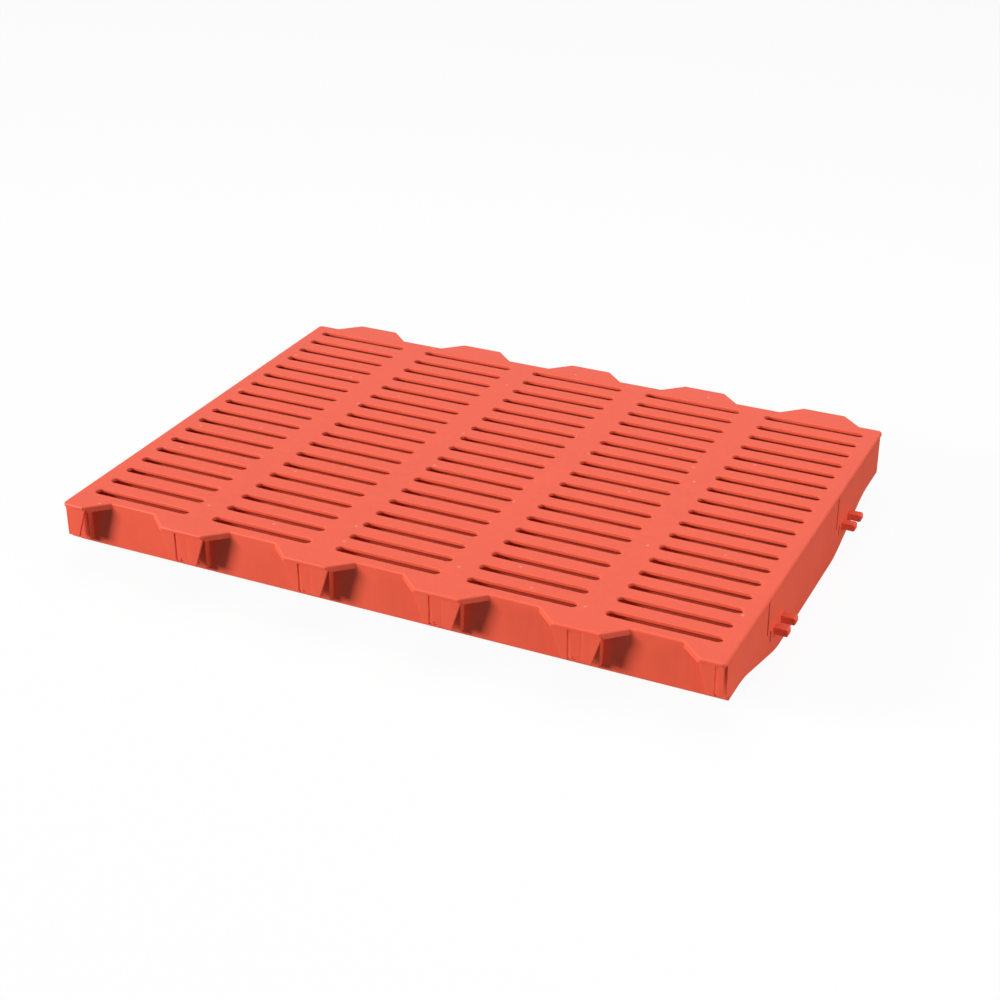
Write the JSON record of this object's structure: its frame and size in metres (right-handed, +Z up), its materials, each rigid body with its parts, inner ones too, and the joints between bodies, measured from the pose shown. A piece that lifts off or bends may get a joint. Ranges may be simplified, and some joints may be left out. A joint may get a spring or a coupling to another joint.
{
  "type": "pig floor slat",
  "caption": "Plastic slatted floor panel for a pig pen, with long rounded slots, toothed meshing ends and deep fish-belly beams.",
  "frame": {"origin": "middle of the walking surface, at its top", "axes": "+X along the slots towards the pegged side, +Y along the beams towards the back teeth, +Z up"},
  "size_m": [0.5618, 0.4188, 0.061],
  "materials": {
    "red_plastic": "injection-moulded orange-red plastic, satin to matt"
  },
  "bodies": {
    "root": {"floor_slat": "red_plastic"}
  },
  "joints": []
}
